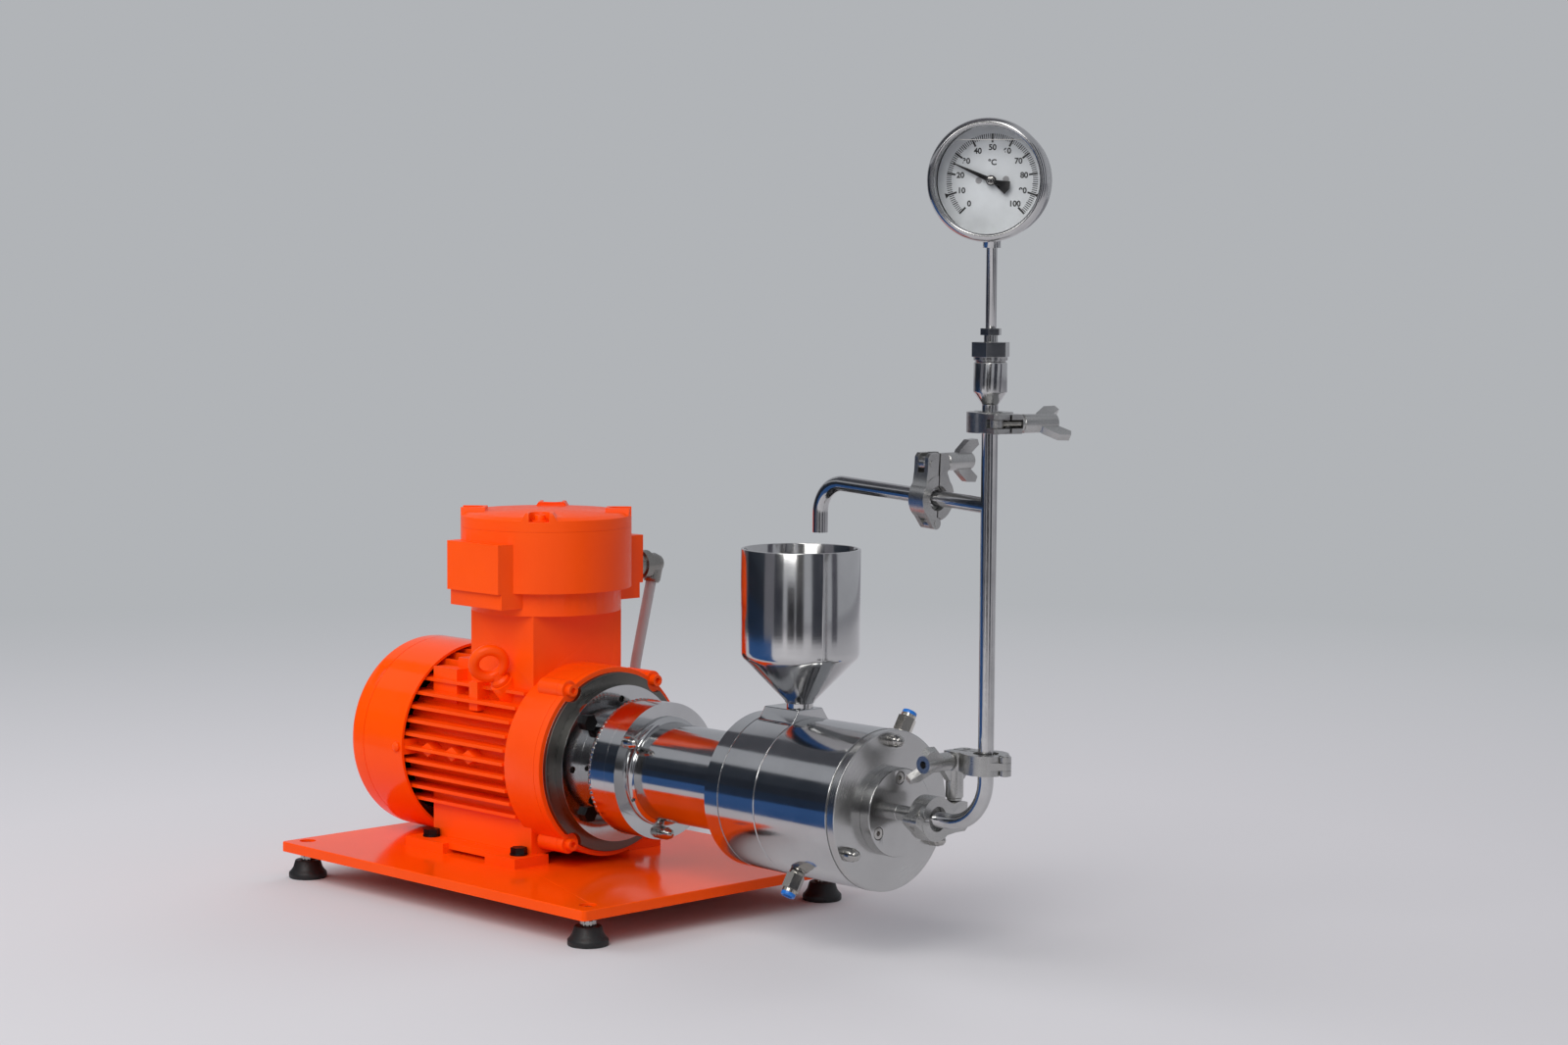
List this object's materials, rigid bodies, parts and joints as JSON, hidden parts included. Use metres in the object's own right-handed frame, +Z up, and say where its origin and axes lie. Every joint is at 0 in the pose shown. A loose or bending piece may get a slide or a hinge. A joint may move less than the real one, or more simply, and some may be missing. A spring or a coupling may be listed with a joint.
{
  "type": "bench bead mill",
  "caption": "Bench bead mill: a foot-mounted motor on a levelled base plate drives a horizontal milling chamber with feed hopper, cooling jacket, clamped return pipe and dial thermometer.",
  "frame": {"origin": "centre of the machine's footprint, on the surface that the levelling feet stand on", "axes": "+X along the mill shaft from the motor towards the product outlet, +Y across the base plate away from the operator's side (the thermometer faces towards -Y), +Z up"},
  "size_m": [0.9075, 0.467, 0.6835],
  "materials": {
    "orange_paint": "semi-gloss orange enamel",
    "satin_steel": "satin turned stainless steel",
    "polished_steel": "polished stainless steel",
    "cast_steel": "satin precision-cast stainless steel",
    "raw_steel": "machined steel",
    "black_steel": "black oxide",
    "bright_fasteners": "bright stainless",
    "nickel": "nickel plate",
    "black_plastic": "black nylon",
    "cable_jacket": "light grey jacket",
    "white_dial": "white enamel",
    "pointer_black": "matt black",
    "window_glass": "clear",
    "black_rubber": "moulded rubber",
    "white_polymer": "wear-resistant polymer"
  },
  "bodies": {
    "frame": {"adapter": "polished_steel", "base_plate": "orange_paint", "bearing_housing": "satin_steel", "bearings": "raw_steel", "cable_coil": "cable_jacket", "cable_gland": "nickel", "cable_plug": "black_plastic", "chamber_liner": "satin_steel", "clamp_gaskets": "black_rubber", "compression_fitting": "satin_steel", "coolant_fittings": "nickel", "cooling_jacket": "polished_steel", "drive_end_shield": "orange_paint", "elbow_pipe": "polished_steel", "fan_cowl": "orange_paint", "fixed_jaws": "cast_steel", "front_cover": "satin_steel", "gauge_bezel": "polished_steel", "gauge_case": "polished_steel", "gauge_dial": "white_dial", "gauge_glass": "window_glass", "hex_bolts": "black_steel", "hopper": "satin_steel", "inlet_ring": "satin_steel", "lifting_eye": "orange_paint", "mill_fasteners": "bright_fasteners", "motor_frame": "orange_paint", "motor_screws": "orange_paint", "outlet_flange": "satin_steel", "power_cable": "cable_jacket", "riser_pipe": "polished_steel", "separator_screen": "bright_fasteners", "shaft_seal": "satin_steel", "spout_pipe": "polished_steel", "stator_core": "raw_steel", "terminal_box": "orange_paint", "terminal_box_lid": "orange_paint", "thermometer_socket": "polished_steel"},
    "rotor": {"motor_rotor": "raw_steel", "cooling_fan": "black_plastic", "shaft_coupling": "raw_steel", "mill_shaft": "raw_steel", "agitator_discs": "white_polymer"},
    "pointer": {"gauge_pointer": "pointer_black"},
    "rear_near_foot": {"rear_near_foot": "black_rubber"},
    "rear_far_foot": {"rear_far_foot": "black_rubber"},
    "front_near_foot": {"front_near_foot": "black_rubber"},
    "front_far_foot": {"front_far_foot": "black_rubber"},
    "outlet_jaw": {"outlet_clamp_jaw": "cast_steel"},
    "outlet_bolt": {"outlet_swing_bolt": "cast_steel"},
    "outlet_nut": {"outlet_wing_nut": "cast_steel"},
    "riser_jaw": {"riser_clamp_jaw": "cast_steel"},
    "riser_bolt": {"riser_swing_bolt": "cast_steel"},
    "riser_nut": {"riser_wing_nut": "cast_steel"},
    "arm_jaw": {"arm_clamp_jaw": "cast_steel"},
    "arm_bolt": {"arm_swing_bolt": "cast_steel"},
    "arm_nut": {"arm_wing_nut": "cast_steel"},
    "top_jaw": {"top_clamp_jaw": "cast_steel"},
    "top_bolt": {"top_swing_bolt": "cast_steel"},
    "top_nut": {"top_wing_nut": "cast_steel"}
  },
  "joints": [
    {"name": "shaft_spin", "type": "hinge", "parent": "frame", "child": "rotor", "pos_m": [0, 0, 0.125], "axis": [1, 0, 0], "continuous": true},
    {"name": "pointer_turn", "type": "hinge", "parent": "frame", "child": "pointer", "pos_m": [0.3355, 0, 0.6355], "axis": [-0.506, 0.8625, 0], "range_deg": [-68.85, 201.15]},
    {"name": "rear_near_foot_height", "type": "slide", "parent": "frame", "child": "rear_near_foot", "axis": [0, 0, 1], "range_m": [-0.006, 0.003]},
    {"name": "rear_far_foot_height", "type": "slide", "parent": "frame", "child": "rear_far_foot", "axis": [0, 0, 1], "range_m": [-0.006, 0.003]},
    {"name": "front_near_foot_height", "type": "slide", "parent": "frame", "child": "front_near_foot", "axis": [0, 0, 1], "range_m": [-0.006, 0.003]},
    {"name": "front_far_foot_height", "type": "slide", "parent": "frame", "child": "front_far_foot", "axis": [0, 0, 1], "range_m": [-0.006, 0.003]},
    {"name": "outlet_bolt_swing", "type": "hinge", "parent": "frame", "child": "outlet_bolt", "pos_m": [0.2767, 0.028, 0.1165], "axis": [-1, 0, 0], "range_deg": [0, 120]},
    {"name": "outlet_jaw_open", "type": "hinge", "parent": "frame", "child": "outlet_jaw", "pos_m": [0.2767, -0.0205, 0.125], "axis": [1, 0, 0], "range_deg": [0, 20.5]},
    {"name": "outlet_nut_travel", "type": "slide", "parent": "outlet_bolt", "child": "outlet_nut", "axis": [0, 0, 1], "range_m": [0, 0.0182]},
    {"name": "riser_bolt_swing", "type": "hinge", "parent": "frame", "child": "riser_bolt", "pos_m": [0.3075, 0.0085, 0.1765], "axis": [0, 0, -1], "range_deg": [0, 60]},
    {"name": "riser_jaw_open", "type": "hinge", "parent": "frame", "child": "riser_jaw", "pos_m": [0.356, 0, 0.1765], "axis": [0, 0, 1], "range_deg": [0, 10.5]},
    {"name": "riser_nut_travel", "type": "slide", "parent": "riser_bolt", "child": "riser_nut", "axis": [0, -1, 0], "range_m": [0, 0.0092]},
    {"name": "arm_bolt_swing", "type": "hinge", "parent": "frame", "child": "arm_bolt", "pos_m": [0.27516, -0.0085, 0.41222], "axis": [0.9984, 0, -0.0558], "range_deg": [0, 120]},
    {"name": "arm_jaw_open", "type": "hinge", "parent": "frame", "child": "arm_jaw", "pos_m": [0.27245, 0, 0.36379], "axis": [-0.9984, 0, 0.0558], "range_deg": [0, 20.5]},
    {"name": "arm_nut_travel", "type": "slide", "parent": "arm_bolt", "child": "arm_nut", "axis": [0, 1, 0], "range_m": [0, 0.0182]},
    {"name": "top_bolt_swing", "type": "hinge", "parent": "frame", "child": "top_bolt", "pos_m": [0.35859, -0.01797, 0.447], "axis": [0, 0, -1], "range_deg": [0, 120]},
    {"name": "top_jaw_open", "type": "hinge", "parent": "frame", "child": "top_jaw", "pos_m": [0.31636, 0.00735, 0.447], "axis": [0, 0, 1], "range_deg": [0, 20.5]},
    {"name": "top_nut_travel", "type": "slide", "parent": "top_bolt", "child": "top_nut", "axis": [0.3584, 0.9336, 0], "range_m": [0, 0.0182]}
  ],
  "couplings": [
    {"joint": "outlet_jaw_open", "follows": "outlet_bolt_swing", "ratio": 0.16667},
    {"joint": "outlet_nut_travel", "follows": "outlet_bolt_swing", "m_per_rad": 0.0086},
    {"joint": "riser_jaw_open", "follows": "riser_bolt_swing", "ratio": 0.16667},
    {"joint": "riser_nut_travel", "follows": "riser_bolt_swing", "m_per_rad": 0.0086},
    {"joint": "arm_jaw_open", "follows": "arm_bolt_swing", "ratio": 0.16667},
    {"joint": "arm_nut_travel", "follows": "arm_bolt_swing", "m_per_rad": 0.0086},
    {"joint": "top_jaw_open", "follows": "top_bolt_swing", "ratio": 0.16667},
    {"joint": "top_nut_travel", "follows": "top_bolt_swing", "m_per_rad": 0.0086}
  ]
}
